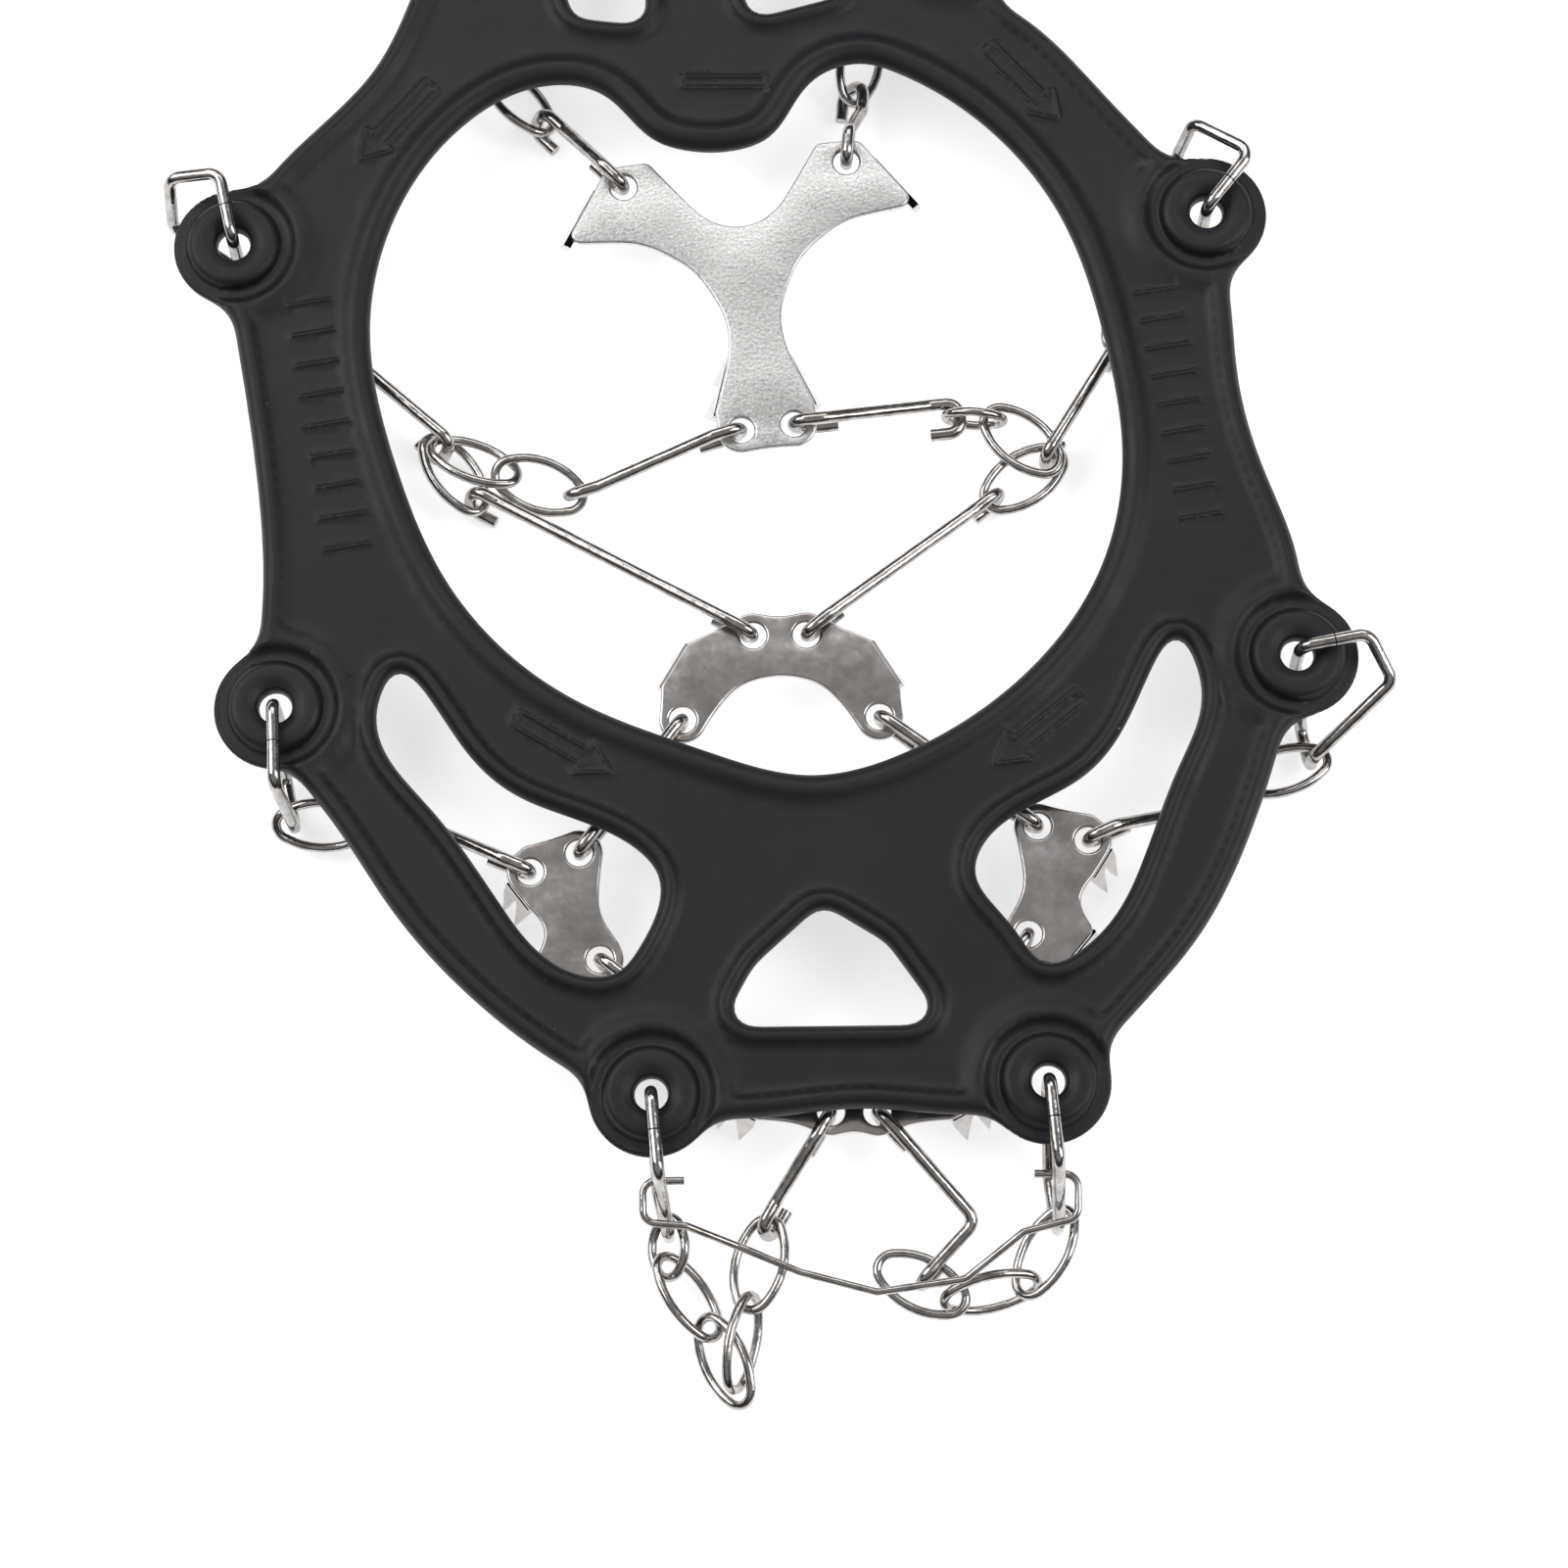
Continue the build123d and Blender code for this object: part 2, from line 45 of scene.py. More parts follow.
SLOTS = {row["node"]: row["material_slot"] for row in frame["record"]["subparts"]}

# ---- camera, light and floor: metres and watts ----
AIM = Vector((0.0019, -0.0340, 0.0140))
CAMERA_DISTANCE = 0.8
CAMERA_ELEVATION = math.radians(75)
LENS = 120
SENSOR = 36
SKY_STRENGTH = 0.8
SKY_STOPS = [(0.0, 0.5), (0.03, 0.05), (0.35, 0.04), (0.55, 0.22), (0.78, 0.5), (1.0, 0.42)]
SOFTBOXES = [  # name, place, (width, height), power
    ("softbox_left", (-0.75, 0.25, 0.8), (0.7, 0.9), 6),
    ("softbox_right", (0.8, -0.1, 0.75), (0.5, 0.9), 5),
    ("softbox_back", (0.0, 0.75, 0.9), (1.1, 0.5), 3.5),
]
FLOOR_HALF = 3.0
FLOOR_DROP = 0.0004

# ---- reading outlines: tolerances in metres ----
PLACE_ROUNDING = 1e5
LEVEL_TOLERANCE = 1e-5
MERGE_DISTANCE = 1e-6

# ---- harness section: heights above the ground and widths, in millimetres ----
UNDERSIDE = 13.0
SIDE_HEIGHT = 15.0
WEB_HEIGHT = 15.9
BEAD_HEIGHT = 17.2
EAR_FLANGE = 15.7
BOSS_TOP = 17.6
BOSS_EDGE = 7.4
BOSS_ROUND = 1.5
EYELET_RADIUS = 2.5
EYELET_ROUND = 0.7
DISH_START = 0.6  # out from the eyelet's edge
DISH_EDGE = 4.6
DISH_DEPTH = 0.6
COLLAR = (8.6, 10.2, 11.2, 13.4)
COLLAR_DROP = 0.2
OUTER_BEAD = 4.0
FOOT_BEAD = 5.2
WINDOW_BEAD = 3.6
UNDER_ROUND = 1.4
RIDGE_HEIGHT = 0.32
RIDGE_CREST = 0.12
RIDGE_HALF_WIDTH = 0.45

# ---- harness mesh: where its points go, in millimetres unless said otherwise ----
EYELET_AREA = 30  # square millimetres: smaller loops are eyelets
EYELET_STEP = 0.6
LOOP_STEP = 1.1
RIM_OFFSETS = (0.05, 0.18, 0.4, 0.75, 1.2, 1.8, 2.5, 3.1, 3.6, 4.1, 4.7, 5.4)
EYELET_LAST_OFFSET = 2.5
FULL_ROWS_TO = 3
ROW_CLEARANCE = 0.93  # share of a row's offset
MARK_STEP = 0.8
MARK_FINE_STEP = 0.12
MARK_SIDES = (-0.5, -0.28, -0.1, 0.1, 0.28, 0.5)
GRID_STEP = 1.7
GRID_ROW_STEP = 0.87  # share of GRID_STEP
GRID_CLEARANCE = 2.6
BOSS_RINGS = (
    10.6, 10.1, 9.5, 9.0, 8.4, 7.8, 7.45, 7.38, 7.3, 7.1, 6.8, 6.3, 5.9, 5.4, 4.9, 4.3, 3.7, 3.2)
RING_POINTS = 56
RING_CLEARANCE = 0.4
POINT_GAP = 0.12

# ---- plates: sheet thickness, edge rounding and corners, in millimetres unless said otherwise ----
SHEET = 1.2
SHEET_ROUND = 0.42
SHEET_ROWS = (0.03, 0.1, 0.2, 0.32, 0.45)
PLATE_STEP = 0.45
HOLE_STEP = 0.3
PLATE_CORNER = 1.8
CORNER_PASSES = (PLATE_CORNER, 0.4, 0.2)
SHARP_CORNER = 0.3
SHARP_COSINE = 0.1
MOST_OF_A_SIDE = 0.25  # share of a side
HOLLOW_ROUNDS = 60
CUT_DEPTH = 0.6  # share of the sheet's thickness
FLAT_MARGIN = 0.02

# ---- raised marks on the web: (middle, direction) of each arrow, ribs in a row, one bar ----
ARROWS = [
    ((-59.5, 73.8), (-9.8, -11.2)), ((39.8, 80.3), (9.8, -10.5)),
    ((-31.9, -28.3), (15.3, -9.0)), ((40.8, -25.9), (-13.5, -11.2)),
]
ARROW_LENGTH = 17.0
ARROW_SHAFT = 1.3
ARROW_HEAD = (4.6, 2.9)
RIB_ROWS = [((-72.6, 43.5), (-65.6, 3.5)), ((60.2, 45.5), (66.4, 8.5))]
RIBS_PER_ROW = 9
RIB_LENGTH = 6.5
BAR_MIDDLE = (-7.6, 80.6)
BAR_SIZE = (13.5, 1.9)


# ---- small node helpers ----
def new_material(name):
    """A material with an empty Principled shader: returns it, its tree and the shader."""
    material = bpy.data.materials.new(name)
    material.use_nodes = True
    tree = material.node_tree
    return material, tree, tree.nodes["Principled BSDF"]


def add_noise(tree, scale, detail=4.0, roughness=0.6, stretch=(1, 1, 1)):
    """A noise texture in object space; returns its value socket."""
    place = tree.nodes.new("ShaderNodeTexCoord")
    mapping = tree.nodes.new("ShaderNodeMapping")
    mapping.inputs["Scale"].default_value = stretch
    noise = tree.nodes.new("ShaderNodeTexNoise")
    noise.inputs["Scale"].default_value = scale
    noise.inputs["Detail"].default_value = detail
    noise.inputs["Roughness"].default_value = roughness
    tree.links.new(place.outputs["Object"], mapping.inputs["Vector"])
    tree.links.new(mapping.outputs["Vector"], noise.inputs["Vector"])
    return noise.outputs["Fac"]


def add_ramp(tree, value, stops):
    """A colour ramp driven by a value; stops are (position, grey or colour)."""
    ramp = tree.nodes.new("ShaderNodeValToRGB")
    elements = ramp.color_ramp.elements
    while len(elements) < len(stops):
        elements.new(0.5)
    for element, (position, colour) in zip(elements, stops):
        element.position = position
        if not isinstance(colour, tuple):
            colour = (colour, colour, colour)
        element.color = (*colour, 1)
    tree.links.new(value, ramp.inputs["Fac"])
    return ramp.outputs["Color"]


def add_bump(tree, shader, value, strength, distance, under=None):
    """A bump on the shader, over another bump's normal if there is one; returns its normal."""
    bump = tree.nodes.new("ShaderNodeBump")
    bump.inputs["Strength"].default_value = strength
    bump.inputs["Distance"].default_value = distance
    tree.links.new(value, bump.inputs["Height"])
    if under is not None:
        tree.links.new(under, bump.inputs["Normal"])
    tree.links.new(bump.outputs["Normal"], shader.inputs["Normal"])
    return bump.outputs["Normal"]


def add_mix(tree, factor, first, second):
    """The first colour socket mixed towards a fixed second colour."""
    mix = tree.nodes.new("ShaderNodeMix")
    mix.data_type = "RGBA"
    tree.links.new(factor, mix.inputs["Factor"])
    tree.links.new(first, mix.inputs["A"])
    mix.inputs["B"].default_value = second
    return mix.outputs["Result"]


# ---- materials ----
def elastomer():
    """Near-black moulded elastomer: satin, faintly mottled, with a few pale dust specks."""
    material, tree, shader = new_material("elastomer")
    mottle = add_noise(tree, scale=55, detail=5, roughness=0.6)
    colour = add_ramp(
        tree, mottle, [(0.3, (0.0085, 0.0085, 0.0100)), (0.7, (0.0125, 0.0125, 0.0148))])
    place = tree.nodes.new("ShaderNodeTexCoord")
    cells = tree.nodes.new("ShaderNodeTexVoronoi")
    cells.inputs["Scale"].default_value = 95
    cells.inputs["Randomness"].default_value = 1
    tree.links.new(place.outputs["Object"], cells.inputs["Vector"])
    specks = add_ramp(tree, cells.outputs["Distance"], [(0.0, 0.85), (0.016, 0.5), (0.024, 0.0)])
    colour = add_mix(tree, specks, colour, (0.42, 0.40, 0.36, 1))
    tree.links.new(colour, shader.inputs["Base Color"])
    wear = add_noise(tree, scale=130, detail=6, roughness=0.65)
    gloss = add_ramp(tree, wear, [(0.25, 0.40), (0.75, 0.56)])
    tree.links.new(gloss, shader.inputs["Roughness"])
    shader.inputs["Specular IOR Level"].default_value = 0.33
    broad = add_noise(tree, scale=260, detail=3, roughness=0.5)
    waves = add_bump(tree, shader, broad, strength=0.10, distance=0.0004)
    fine = add_noise(tree, scale=3200, detail=2, roughness=0.5)
    add_bump(tree, shader, fine, strength=0.16, distance=0.00008, under=waves)
    return material


def wire_steel():
    """Drawn stainless wire, polished by tumbling: soft dents, uneven tarnish and a fine grain."""
    material, tree, shader = new_material("wire_steel")
    shader.inputs["Metallic"].default_value = 1
    tarnish = add_noise(tree, scale=420, detail=4, roughness=0.6)
    colour = add_ramp(
        tree, tarnish,
        [(0.25, (0.24, 0.22, 0.205)), (0.5, (0.42, 0.40, 0.385)), (0.8, (0.60, 0.585, 0.57))])
    tree.links.new(colour, shader.inputs["Base Color"])
    wear = add_noise(tree, scale=900, detail=5, roughness=0.7)
    gloss = add_ramp(tree, wear, [(0.3, 0.09), (0.75, 0.24)])
    tree.links.new(gloss, shader.inputs["Roughness"])
    broad = add_noise(tree, scale=480, detail=2, roughness=0.5)
    dents = add_bump(tree, shader, broad, strength=0.22, distance=0.0005)
    fine = add_noise(tree, scale=5000, detail=3, roughness=0.6)
    add_bump(tree, shader, fine, strength=0.10, distance=0.00006, under=dents)
    return material


def plate_steel():
    """Stamped stainless sheet, bright rolled: broad ripples from forming and fine scratches."""
    material, tree, shader = new_material("plate_steel")
    shader.inputs["Metallic"].default_value = 1
    mottle = add_noise(tree, scale=160, detail=4, roughness=0.6)
    colour = add_ramp(tree, mottle, [(0.3, (0.42, 0.38, 0.36)), (0.7, (0.66, 0.64, 0.63))])
    tree.links.new(colour, shader.inputs["Base Color"])
    wear = add_noise(tree, scale=700, detail=5, roughness=0.7)
    gloss = add_ramp(tree, wear, [(0.3, 0.13), (0.75, 0.28)])
    tree.links.new(gloss, shader.inputs["Roughness"])
    broad = add_noise(tree, scale=90, detail=2, roughness=0.5)
    ripples = add_bump(tree, shader, broad, strength=0.35, distance=0.0012)
    grain = add_noise(tree, scale=2600, detail=3, roughness=0.6, stretch=(1, 0.15, 1))
    add_bump(tree, shader, grain, strength=0.12, distance=0.00008, under=ripples)
    return material


def heel_plate_steel():
    """The heel plate's sheet: bright with a fine blasted speckle."""
    material, tree, shader = new_material("heel_plate_steel")
    shader.inputs["Metallic"].default_value = 1
    speckle = add_noise(tree, scale=2300, detail=2, roughness=0.6)
    colour = add_ramp(tree, speckle, [(0.3, (0.46, 0.455, 0.45)), (0.65, (0.72, 0.71, 0.70))])
    tree.links.new(colour, shader.inputs["Base Color"])
    wear = add_noise(tree, scale=1100, detail=4, roughness=0.6)
    gloss = add_ramp(tree, wear, [(0.3, 0.27), (0.7, 0.42)])
    tree.links.new(gloss, shader.inputs["Roughness"])
    fine = add_noise(tree, scale=1900, detail=2, roughness=0.55)
    dimples = add_bump(tree, shader, fine, strength=0.40, distance=0.00012)
    broad = add_noise(tree, scale=110, detail=2, roughness=0.5)
    add_bump(tree, shader, broad, strength=0.15, distance=0.0008, under=dimples)
    return material


def floor_white():
    """A plain pale studio floor, a little self-lit so that it stays even."""
    material, tree, shader = new_material("floor_white")
    mottle = add_noise(tree, scale=3, detail=2, roughness=0.5)
    colour = add_ramp(tree, mottle, [(0.3, 0.90), (0.7, 0.93)])
    tree.links.new(colour, shader.inputs["Base Color"])
    shader.inputs["Roughness"].default_value = 0.9
    shader.inputs["Emission Color"].default_value = (1, 1, 1, 1)
    shader.inputs["Emission Strength"].default_value = 0.62
    return material


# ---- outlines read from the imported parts, and shared mesh helpers ----
def boundary_loops(mesh, level):
    """Closed outlines of the mesh's flat faces at a level, as lists of (x, y) in millimetres."""
    place = {}
    count = {}
    for polygon in mesh.polygons:
        corners = [mesh.vertices[i] for i in polygon.vertices]
        if max(abs(v.co.z - level) for v in corners) > LEVEL_TOLERANCE:
            continue
        keys = [(round(v.co.x * PLACE_ROUNDING), round(v.co.y * PLACE_ROUNDING)) for v in corners]
        for k, v in zip(keys, corners):
            place[k] = (v.co.x / MM, v.co.y / MM)
        for a, b in zip(keys, keys[1:] + keys[:1]):
            count[frozenset((a, b))] = count.get(frozenset((a, b)), 0) + 1
    links = {}
    for edge, uses in count.items():
        if uses == 1 and len(edge) == 2:
            a, b = edge
            links.setdefault(a, []).append(b)
            links.setdefault(b, []).append(a)
    loops = []
    while links:
        start = next(iter(links))
        loop = [start]
        while True:
            following = [k for k in links[loop[-1]] if len(loop) < 2 or k != loop[-2]]
            if not following or following[0] == start:
                break
            loop.append(following[0])
        for k in loop:
            links.pop(k)
        loops.append([place[k] for k in loop])
    return loops


def signed_area(loop):
    return sum(a[0] * b[1] - b[0] * a[1] for a, b in zip(loop, loop[1:] + loop[:1])) / 2


def resampled(loop, step):
    """The loop with evenly spaced points, anticlockwise."""
    if signed_area(loop) < 0:
        loop = loop[::-1]
    ring = loop + loop[:1]
    lengths = [math.dist(a, b) for a, b in zip(ring, ring[1:])]
    total = sum(lengths)
    count = max(12, round(total / step))
    points = []
    piece, start = 0, 0.0
    for i in range(count):
        target = total * i / count
        while start + lengths[piece] < target:
            start += lengths[piece]
            piece += 1
        t = (target - start) / lengths[piece]
        a, b = ring[piece], ring[piece + 1]
        points.append((a[0] + (b[0] - a[0]) * t, a[1] + (b[1] - a[1]) * t))
    return points


def smoothed(loop, rounds=2):
    """The loop with each point moved halfway to the middle of its neighbours."""
    for _ in range(rounds):
        count = len(loop)
        loop = [
            ((loop[i][0] * 2 + loop[i - 1][0] + loop[(i + 1) % count][0]) / 4,
             (loop[i][1] * 2 + loop[i - 1][1] + loop[(i + 1) % count][1]) / 4)
            for i in range(count)]
    return loop


def smoothstep(low, high, value):
    t = min(1.0, max(0.0, (value - low) / (high - low)))
    return t * t * (3 - 2 * t)


def quarter_round(distance, radius):
    """0 at the edge to 1 a radius in, as a quarter circle."""
    t = 1 - min(1.0, distance / radius)
    return math.sqrt(max(0.0, 1 - t * t))


class Outline:
    """The harness outline: its loops, their bead widths, the ears and nearest-edge lookups."""

    def __init__(self, mesh):
        raw = boundary_loops(mesh, min(v.co.z for v in mesh.vertices))
        raw.sort(key=lambda loop: -abs(signed_area(loop)))
        self.loops = []
        self.ears = []
        self.beads = []
        for i, loop in enumerate(raw):
            if abs(signed_area(loop)) < EYELET_AREA:
                even = resampled(loop, EYELET_STEP)
                middle = tuple(sum(p[k] for p in even) / len(even) for k in (0, 1))
                self.ears.append(middle)
                self.beads.append(0)
            else:
                even = smoothed(resampled(loop, LOOP_STEP))
                self.beads.append((OUTER_BEAD, FOOT_BEAD)[i] if i < 2 else WINDOW_BEAD)
            self.loops.append(even)
        wide = [i for i, bead in enumerate(self.beads) if bead]
        dense = [(p, i) for i in wide for p in self.filled(self.loops[i])]
        self.tree = kdtree.KDTree(len(dense))
        for n, (p, _) in enumerate(dense):
            self.tree.insert((p[0], p[1], 0), n)
        self.tree.balance()
        self.owner = [i for _, i in dense]

    @staticmethod
    def filled(loop, parts=4):
        """Points a quarter step apart along the loop."""
        points = []
        for (ax, ay), (bx, by) in zip(loop, loop[1:] + loop[:1]):
            points += [
                (ax + (bx - ax) * k / parts, ay + (by - ay) * k / parts) for k in range(parts)]
        return points

    def nearest(self, x, y):
        """Distance to the nearest edge that is not an eyelet's, and that edge's bead width."""
        _, index, distance = self.tree.find((x, y, 0))
        return distance, self.beads[self.owner[index]]

    def edge_distance(self, x, y):
        """Distance to the nearest edge of any kind, the eyelets' included."""
        return min(self.nearest(x, y)[0], abs(self.ear_distance(x, y) - EYELET_RADIUS))

    def ear_distance(self, x, y):
        """Distance to the nearest eyelet's middle."""
        return min(math.hypot(x - ex, y - ey) for ex, ey in self.ears)


def inside(point, loop):
    x, y = point
    odd = False
    for (ax, ay), (bx, by) in zip(loop, loop[1:] + loop[:1]):
        if (ay > y) != (by > y) and x < ax + (bx - ax) * (y - ay) / (by - ay):
            odd = not odd
    return odd


def between(point, loops):
    """True inside the first loop and outside all the others."""
    return inside(point, loops[0]) and not any(inside(point, hole) for hole in loops[1:])


def faces_between(faces, places, loops):
    """The faces whose middle is between the loops."""
    kept = []
    for face in faces:
        middle = tuple(sum(places[i][k] for i in face) / len(face) for k in (0, 1))
        if between(middle, loops):
            kept.append(face)
    return kept


def rim_and_edges(loops):
    """All the loops' points in one list, and the index pairs that join them."""
    rim, edges = [], []
    for loop in loops:
        first = len(rim)
        rim += loop
        edges += [(first + i, first + (i + 1) % len(loop)) for i in range(len(loop))]
    return rim, edges


def rim_normals(loops):
    """Each loop's points with the unit normal that points into the material, loop by loop."""
    for loop in loops:
        side = -1 if loop is loops[0] else 1
        rows = []
        for i, (x, y) in enumerate(loop):
            ax, ay = loop[i - 1]
            bx, by = loop[(i + 1) % len(loop)]
            length = math.hypot(bx - ax, by - ay)
            rows.append((x, y, (by - ay) / length * side, -(bx - ax) / length * side))
        yield rows


def smooth_mesh(name, vertices, triangles):
    """A smooth-shaded mesh with unused points dropped and every face turned outward."""
    mesh = bpy.data.meshes.new(name)
    mesh.from_pydata(vertices, [], triangles)
    shape = bmesh.new()
    shape.from_mesh(mesh)
    bmesh.ops.delete(shape, geom=[v for v in shape.verts if not v.link_faces], context="VERTS")
    bmesh.ops.recalc_face_normals(shape, faces=shape.faces)
    for face in shape.faces:
        face.smooth = True
    shape.to_mesh(mesh)
    shape.free()
    return mesh


# ---- raised marks ----
def arrow_outline(middle, direction):
    """The closed outline of an arrow pointing along the direction."""
    length = math.hypot(*direction)
    ux, uy = direction[0] / length, direction[1] / length
    head, wing = ARROW_HEAD
    half = ARROW_LENGTH / 2
    neck = half - head
    local = [
        (-half, -ARROW_SHAFT), (neck, -ARROW_SHAFT), (neck, -wing), (half, 0),
        (neck, wing), (neck, ARROW_SHAFT), (-half, ARROW_SHAFT), (-half, -ARROW_SHAFT)]
    return [(middle[0] + a * ux - b * uy, middle[1] + a * uy + b * ux) for a, b in local]


def ridge_lines():
    """Every raised line on the web, as lists of points."""
    lines = [arrow_outline(middle, direction) for middle, direction in ARROWS]
    for (ax, ay), (bx, by) in RIB_ROWS:
        length = math.hypot(bx - ax, by - ay)
        across = (-(by - ay) / length * RIB_LENGTH / 2, (bx - ax) / length * RIB_LENGTH / 2)
        for i in range(RIBS_PER_ROW):
            t = i / (RIBS_PER_ROW - 1)
            x, y = ax + (bx - ax) * t, ay + (by - ay) * t
            lines.append([(x - across[0], y - across[1]), (x + across[0], y + across[1])])
    x, y = BAR_MIDDLE
    w, h = BAR_SIZE[0] / 2, BAR_SIZE[1] / 2
    lines.append([(x - w, y - h), (x + w, y - h), (x + w, y + h), (x - w, y + h), (x - w, y - h)])
    return lines


def line_points(line, step):
    """Points about a step apart along the line, each with the line's direction there."""
    points = []
    for (ax, ay), (bx, by) in zip(line, line[1:]):
        length = math.dist((ax, ay), (bx, by))
        direction = ((bx - ax) / length, (by - ay) / length)
        parts = max(1, round(length / step))
        for k in range(parts + 1):
            t = k / parts
            points.append((ax + (bx - ax) * t, ay + (by - ay) * t, *direction))
    return points


# ---- the harness surface ----
def boss_height(ear):
    """Height of an ear's round boss: a rounded rim and a dish around the eyelet."""
    rim = EAR_FLANGE + (BOSS_TOP - EAR_FLANGE) * quarter_round(BOSS_EDGE - ear, BOSS_ROUND)
    rim -= DISH_DEPTH * (1 - smoothstep(EYELET_RADIUS + DISH_START, DISH_EDGE, ear))
    return SIDE_HEIGHT + (rim - SIDE_HEIGHT) * quarter_round(ear - EYELET_RADIUS, EYELET_ROUND)


def top_height(outline, ridges, x, y):
    """Height of the harness's upper surface: bead, web, ear boss, collar and raised marks."""
    ear = outline.ear_distance(x, y)
    if ear < BOSS_EDGE:
        return boss_height(ear)
    distance, width = outline.nearest(x, y)
    on_body = smoothstep(COLLAR[0], COLLAR[1], ear)
    bead_top = EAR_FLANGE + (BEAD_HEIGHT - EAR_FLANGE) * on_body
    web = EAR_FLANGE + (WEB_HEIGHT - EAR_FLANGE) * on_body
    collar = on_body * (1 - smoothstep(COLLAR[2], COLLAR[3], ear))
    web += (BEAD_HEIGHT - COLLAR_DROP - WEB_HEIGHT) * collar
    half = width / 2
    if distance < half:
        height = SIDE_HEIGHT + (bead_top - SIDE_HEIGHT) * quarter_round(distance, half)
    else:
        height = web + (bead_top - web) * (1 - smoothstep(half, width, distance))
    _, _, gap = ridges.find((x, y, 0))
    return height + RIDGE_HEIGHT * (1 - smoothstep(RIDGE_CREST, RIDGE_HALF_WIDTH, gap))


def bottom_height(outline, x, y):
    """Height of the harness's lower surface: flat, rounded up at every edge."""
    distance = outline.edge_distance(x, y)
    return UNDERSIDE + (SIDE_HEIGHT - UNDERSIDE) * (1 - quarter_round(distance, UNDER_ROUND))


def surface_points(outline, lines):
    """Points for the mesh: rows along edges, rows along marks, a grid, and rings round the ears."""
    points = []
    for rows, bead in zip(rim_normals(outline.loops), outline.beads):
        for i, (x, y, nx, ny) in enumerate(rows):
            for n, offset in enumerate(RIM_OFFSETS):
                if bead == 0 and offset > EYELET_LAST_OFFSET:
                    break
                if offset > FULL_ROWS_TO and (i + n) % 2:
                    continue
                px, py = x + nx * offset, y + ny * offset
                if outline.edge_distance(px, py) > offset * ROW_CLEARANCE:
                    points.append((px, py))
    for line in lines:
        for x, y, ux, uy in line_points(line, MARK_STEP):
            for side in MARK_SIDES:
                points.append((x - uy * side, y + ux * side))
    outer = outline.loops[0]
    xs, ys = [p[0] for p in outer], [p[1] for p in outer]
    row = 0
    y = min(ys)
    while y < max(ys):
        x = min(xs) + (GRID_STEP / 2 if row % 2 else 0)
        while x < max(xs):
            if outline.edge_distance(x, y) > GRID_CLEARANCE and between((x, y), outline.loops):
                near_ear = outline.ear_distance(x, y) < COLLAR[3] + 1
                if near_ear or outline.nearest(x, y)[0] > RIM_OFFSETS[-1]:
                    points.append((x, y))
            x += GRID_STEP
        y += GRID_STEP * GRID_ROW_STEP
        row += 1
    for ex, ey in outline.ears:
        for radius in BOSS_RINGS:
            for k in range(RING_POINTS):
                a = 2 * math.pi * k / RING_POINTS
                px, py = ex + radius * math.cos(a), ey + radius * math.sin(a)
                if outline.edge_distance(px, py) > RING_CLEARANCE and inside((px, py), outer):
                    points.append((px, py))
    return thinned(points, POINT_GAP)


def thinned(points, gap):
    """The points with none nearer to an earlier one than the gap."""
    kept, cells = [], {}
    for x, y in points:
        cx, cy = int(x // gap), int(y // gap)
        near = [q for i in (-1, 0, 1) for j in (-1, 0, 1) for q in cells.get((cx + i, cy + j), ())]
        if all((x - q[0]) ** 2 + (y - q[1]) ** 2 > gap * gap for q in near):
            cells.setdefault((cx, cy), []).append((x, y))
            kept.append((x, y))
    return kept


def harness_surface(outline):
    """The moulded harness as one closed mesh, its upper and lower faces joined along every edge."""
    lines = ridge_lines()
    marks = [p for line in lines for p in line_points(line, MARK_FINE_STEP)]
    ridges = kdtree.KDTree(len(marks))
    for n, p in enumerate(marks):
        ridges.insert((p[0], p[1], 0), n)
    ridges.balance()
    rim, edges = rim_and_edges(outline.loops)
    flat = [Vector(p) for p in rim + surface_points(outline, lines)]
    places, _, faces, origins, _, _ = geometry.delaunay_2d_cdt(flat, edges, [], 0, MERGE_DISTANCE)
    on_rim = [any(o < len(rim) for o in origin) for origin in origins]
    kept = faces_between(faces, places, outline.loops)
    vertices = []
    for p, edge in zip(places, on_rim):
        z = SIDE_HEIGHT if edge else top_height(outline, ridges, p.x, p.y)
        vertices.append((p.x * MM, p.y * MM, z * MM))
    below = {}
    for i, (p, edge) in enumerate(zip(places, on_rim)):
        below[i] = i
        if not edge:
            below[i] = len(vertices)
            vertices.append((p.x * MM, p.y * MM, bottom_height(outline, p.x, p.y) * MM))
    triangles = [tuple(face) for face in kept]
    triangles += [tuple(below[i] for i in reversed(face)) for face in kept]
    return smooth_mesh("harness_moulding", vertices, triangles)


def build_harness():
    outline = Outline(frame["nodes"]["harness"].data)
    piece = bpy.data.objects.new("harness_moulding", harness_surface(outline))
    bpy.context.collection.objects.link(piece)
    piece.data.materials.append(elastomer())
    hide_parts("harness")
    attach(piece, "harness")


# ---- the plates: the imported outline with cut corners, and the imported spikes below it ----
def corner_cut(before, here, after):
    """How far back a corner may be cut: sharp ones, where the spikes bend down, only a little."""
    ux, uy = before[0] - here[0], before[1] - here[1]
    vx, vy = after[0] - here[0], after[1] - here[1]
    cosine = (ux * vx + uy * vy) / (math.hypot(ux, uy) * math.hypot(vx, vy))
    return SHARP_CORNER if cosine > SHARP_COSINE else PLATE_CORNER


def cut_corners(loop, most):
    """The loop with every corner cut back, by at most a quarter of its sides."""
    cut = []
    count = len(loop)
    for i, a in enumerate(loop):
        b = loop[(i + 1) % count]
        length = math.dist(a, b)
        t = min(MOST_OF_A_SIDE, min(most, corner_cut(loop[i - 1], a, b)) / length)
        u = min(MOST_OF_A_SIDE, min(most, corner_cut(a, b, loop[(i + 2) % count])) / length)
        cut.append((a[0] + (b[0] - a[0]) * t, a[1] + (b[1] - a[1]) * t))
        cut.append((b[0] + (a[0] - b[0]) * u, b[1] + (a[1] - b[1]) * u))
    return cut


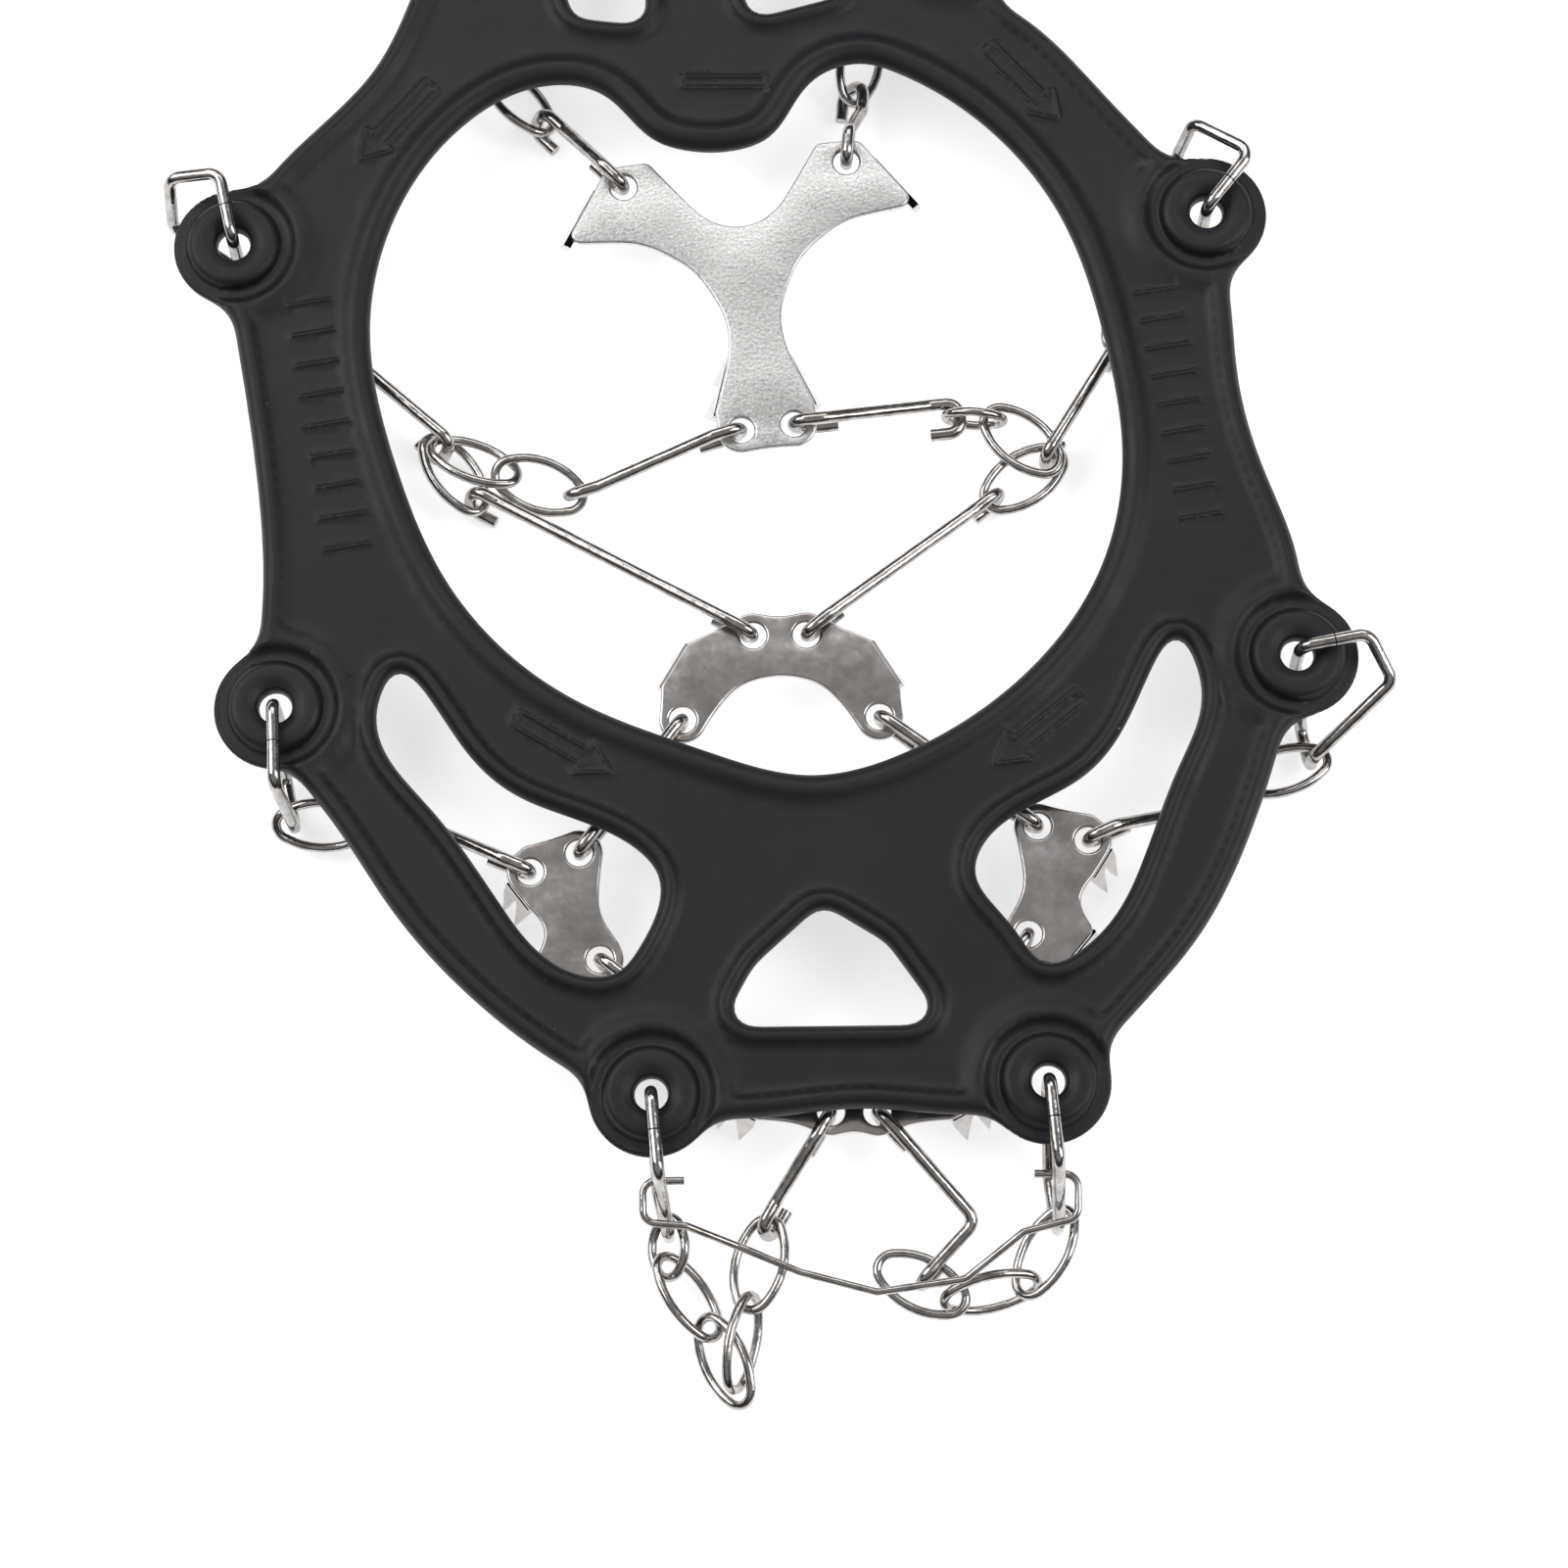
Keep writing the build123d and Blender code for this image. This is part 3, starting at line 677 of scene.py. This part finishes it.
def eased_hollows(loop):
    """The anticlockwise loop with its inward corners smoothed into arcs, the others as they are."""
    for _ in range(HOLLOW_ROUNDS):
        eased = []
        for i, (x, y) in enumerate(loop):
            ax, ay = loop[i - 1]
            bx, by = loop[(i + 1) % len(loop)]
            turn = (x - ax) * (by - y) - (y - ay) * (bx - x)
            middle = ((ax + bx) / 2, (ay + by) / 2)
            eased.append(((x + middle[0]) / 2, (y + middle[1]) / 2) if turn < 0 else (x, y))
        loop = eased
    return loop


def plate_loops(mesh, top):
    """The sheet's outline with cut corners and eased hollows, then its holes."""
    loops = sorted(boundary_loops(mesh, top), key=lambda loop: -abs(signed_area(loop)))
    outer = loops[0]
    for most in CORNER_PASSES:
        outer = cut_corners(outer, most)
    holes = [resampled(hole, HOLE_STEP) for hole in loops[1:]]
    return [eased_hollows(resampled(outer, PLATE_STEP))] + holes


def sheet_mesh(loops, top):
    """A sheet between the loops with rounded edges, as vertices and triangles in metres."""
    rim, edges = rim_and_edges(loops)
    points, gaps = list(rim), [0.0] * len(rim)
    for rows in rim_normals(loops):
        for x, y, nx, ny in rows:
            points += [(x + nx * gap, y + ny * gap) for gap in SHEET_ROWS]
            gaps += SHEET_ROWS
    flat = [Vector(p) for p in points]
    places, _, faces, origins, _, _ = geometry.delaunay_2d_cdt(flat, edges, [], 0, MERGE_DISTANCE)
    lifts = []
    for origin in origins:
        nearest = min(gaps[o] for o in origin) if origin else 0
        lifts.append(quarter_round(nearest, SHEET_ROUND))
    middle = top - SHEET / 2
    vertices, below = [], {}
    for p, lift in zip(places, lifts):
        vertices.append((p.x * MM, p.y * MM, (middle + SHEET / 2 * lift) * MM))
    for i, (p, lift) in enumerate(zip(places, lifts)):
        below[i] = i
        if lift:
            below[i] = len(vertices)
            vertices.append((p.x * MM, p.y * MM, (middle - SHEET / 2 * lift) * MM))
    triangles = []
    for face in faces_between(faces, places, loops):
        triangles += [tuple(face), tuple(below[i] for i in reversed(face))]
    return vertices, triangles


def build_plate(name, metal):
    """A plate as two pieces: a new sheet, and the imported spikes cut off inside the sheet."""
    node = frame["nodes"][name]
    top = max(v.co.z for v in node.data.vertices)
    vertices, triangles = sheet_mesh(plate_loops(node.data, top), top / MM)
    sheet = smooth_mesh(name + "_sheet", vertices, triangles)
    cut = bmesh.new()
    cut.from_mesh(node.data)
    whole = cut.verts[:] + cut.edges[:] + cut.faces[:]
    level = Vector((0, 0, top - SHEET * CUT_DEPTH * MM))
    bmesh.ops.bisect_plane(cut, geom=whole, plane_co=level, plane_no=(0, 0, 1), clear_outer=True)
    lowest = top - (SHEET + FLAT_MARGIN) * MM
    flat = [f for f in cut.faces if min(v.co.z for v in f.verts) > lowest]
    bmesh.ops.delete(cut, geom=flat, context="FACES")
    spikes = bpy.data.meshes.new(name + "_spikes")
    cut.to_mesh(spikes)
    cut.free()
    for suffix, shape in (("_sheet", sheet), ("_spikes", spikes)):
        piece = bpy.data.objects.new(name + suffix, shape)
        bpy.context.collection.objects.link(piece)
        shape.materials.clear()
        shape.materials.append(metal)
        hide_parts(name)
        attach(piece, name)


# ---- the steel parts ----
def finish_steel():
    """Rebuild the plates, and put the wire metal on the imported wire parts."""
    metals = {
        "wire_steel": wire_steel(), "plate_steel": plate_steel(),
        "heel_plate_steel": heel_plate_steel()}
    for name, node in frame["nodes"].items():
        metal = metals.get(SLOTS[name])
        if metal is None:
            continue
        if name.endswith("plate") or name.startswith("side_plate"):
            build_plate(name, metal)
            continue
        if not node.material_slots:
            node.data.materials.append(metal)
        for place in node.material_slots:
            place.material = metal


# ---- stage, light and camera ----
def build_stage():
    mesh = bpy.data.meshes.new("floor")
    corners = [(-1, -1), (1, -1), (1, 1), (-1, 1)]
    vertices = [(x * FLOOR_HALF, y * FLOOR_HALF, -FLOOR_DROP) for x, y in corners]
    mesh.from_pydata(vertices, [], [(0, 1, 2, 3)])
    floor = bpy.data.objects.new("floor", mesh)
    bpy.context.collection.objects.link(floor)
    mesh.materials.append(floor_white())


def build_world():
    """Bright overhead and dark towards the horizon, so that polished wire shows dark edges."""
    world = bpy.data.worlds.new("studio")
    bpy.context.scene.world = world
    world.use_nodes = True
    tree = world.node_tree
    sky = tree.nodes["Background"]
    place = tree.nodes.new("ShaderNodeTexCoord")
    parts = tree.nodes.new("ShaderNodeSeparateXYZ")
    tree.links.new(place.outputs["Generated"], parts.inputs["Vector"])
    colour = add_ramp(tree, parts.outputs["Z"], SKY_STOPS)
    tree.links.new(colour, sky.inputs["Color"])
    sky.inputs["Strength"].default_value = SKY_STRENGTH


def add_softbox(name, place, size, power):
    light = bpy.data.lights.new(name, "AREA")
    light.shape = "RECTANGLE"
    light.size, light.size_y = size
    light.energy = power
    lamp = bpy.data.objects.new(name, light)
    bpy.context.collection.objects.link(lamp)
    lamp.location = place
    lamp.rotation_euler = (AIM - Vector(place)).to_track_quat("-Z", "Y").to_euler()


def build_camera():
    camera = bpy.data.cameras.new("camera")
    camera.lens = LENS
    camera.sensor_width = SENSOR
    eye = bpy.data.objects.new("camera", camera)
    bpy.context.collection.objects.link(eye)
    away = Vector((0, -math.cos(CAMERA_ELEVATION), math.sin(CAMERA_ELEVATION)))
    eye.location = AIM + away * CAMERA_DISTANCE
    eye.rotation_euler = (-away).to_track_quat("-Z", "Y").to_euler()
    bpy.context.scene.camera = eye


bpy.context.scene.view_settings.view_transform = "Standard"
build_stage()
build_world()
for softbox in SOFTBOXES:
    add_softbox(*softbox)
build_camera()
build_harness()
finish_steel()
